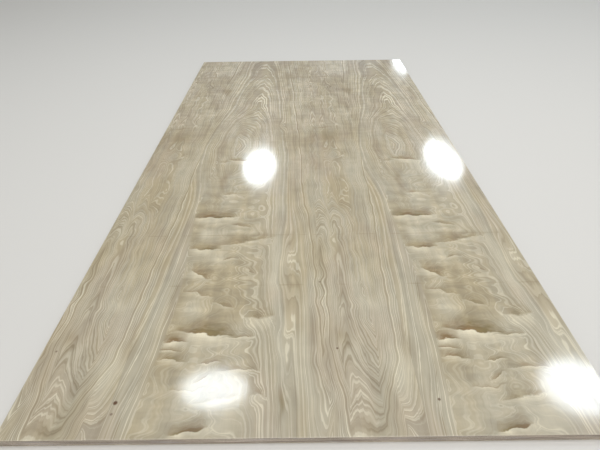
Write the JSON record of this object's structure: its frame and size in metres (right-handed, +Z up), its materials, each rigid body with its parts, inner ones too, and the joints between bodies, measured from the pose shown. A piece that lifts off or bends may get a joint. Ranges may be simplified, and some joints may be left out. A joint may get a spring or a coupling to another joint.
{
  "type": "plywood sheet",
  "caption": "Flat rectangular sheet of lacquered birch plywood: veneers glued face to face with crossed grain, for furniture, floors, walls and formwork.",
  "frame": {"origin": "middle of the back face, on the level surface that the sheet lies on", "axes": "+X across the sheet, +Y along its length and face grain, +Z up through its thickness, out of the face"},
  "size_m": [1.22, 2.44, 0.018],
  "materials": {
    "face_birch": "rotary-cut birch under clear high-gloss lacquer",
    "crossband_birch": "sawn edge, side grain and end grain",
    "long_band_birch": "sawn edge, end grain and side grain",
    "back_birch": "rotary-cut birch, sanded"
  },
  "bodies": {
    "root": {"face_veneer": "face_birch", "crossband_02": "crossband_birch", "long_band_03": "long_band_birch", "crossband_04": "crossband_birch", "long_band_05": "long_band_birch", "crossband_06": "crossband_birch", "long_band_07": "long_band_birch", "crossband_08": "crossband_birch", "long_band_09": "long_band_birch", "crossband_10": "crossband_birch", "long_band_11": "long_band_birch", "crossband_12": "crossband_birch", "back_veneer": "back_birch"}
  },
  "joints": []
}
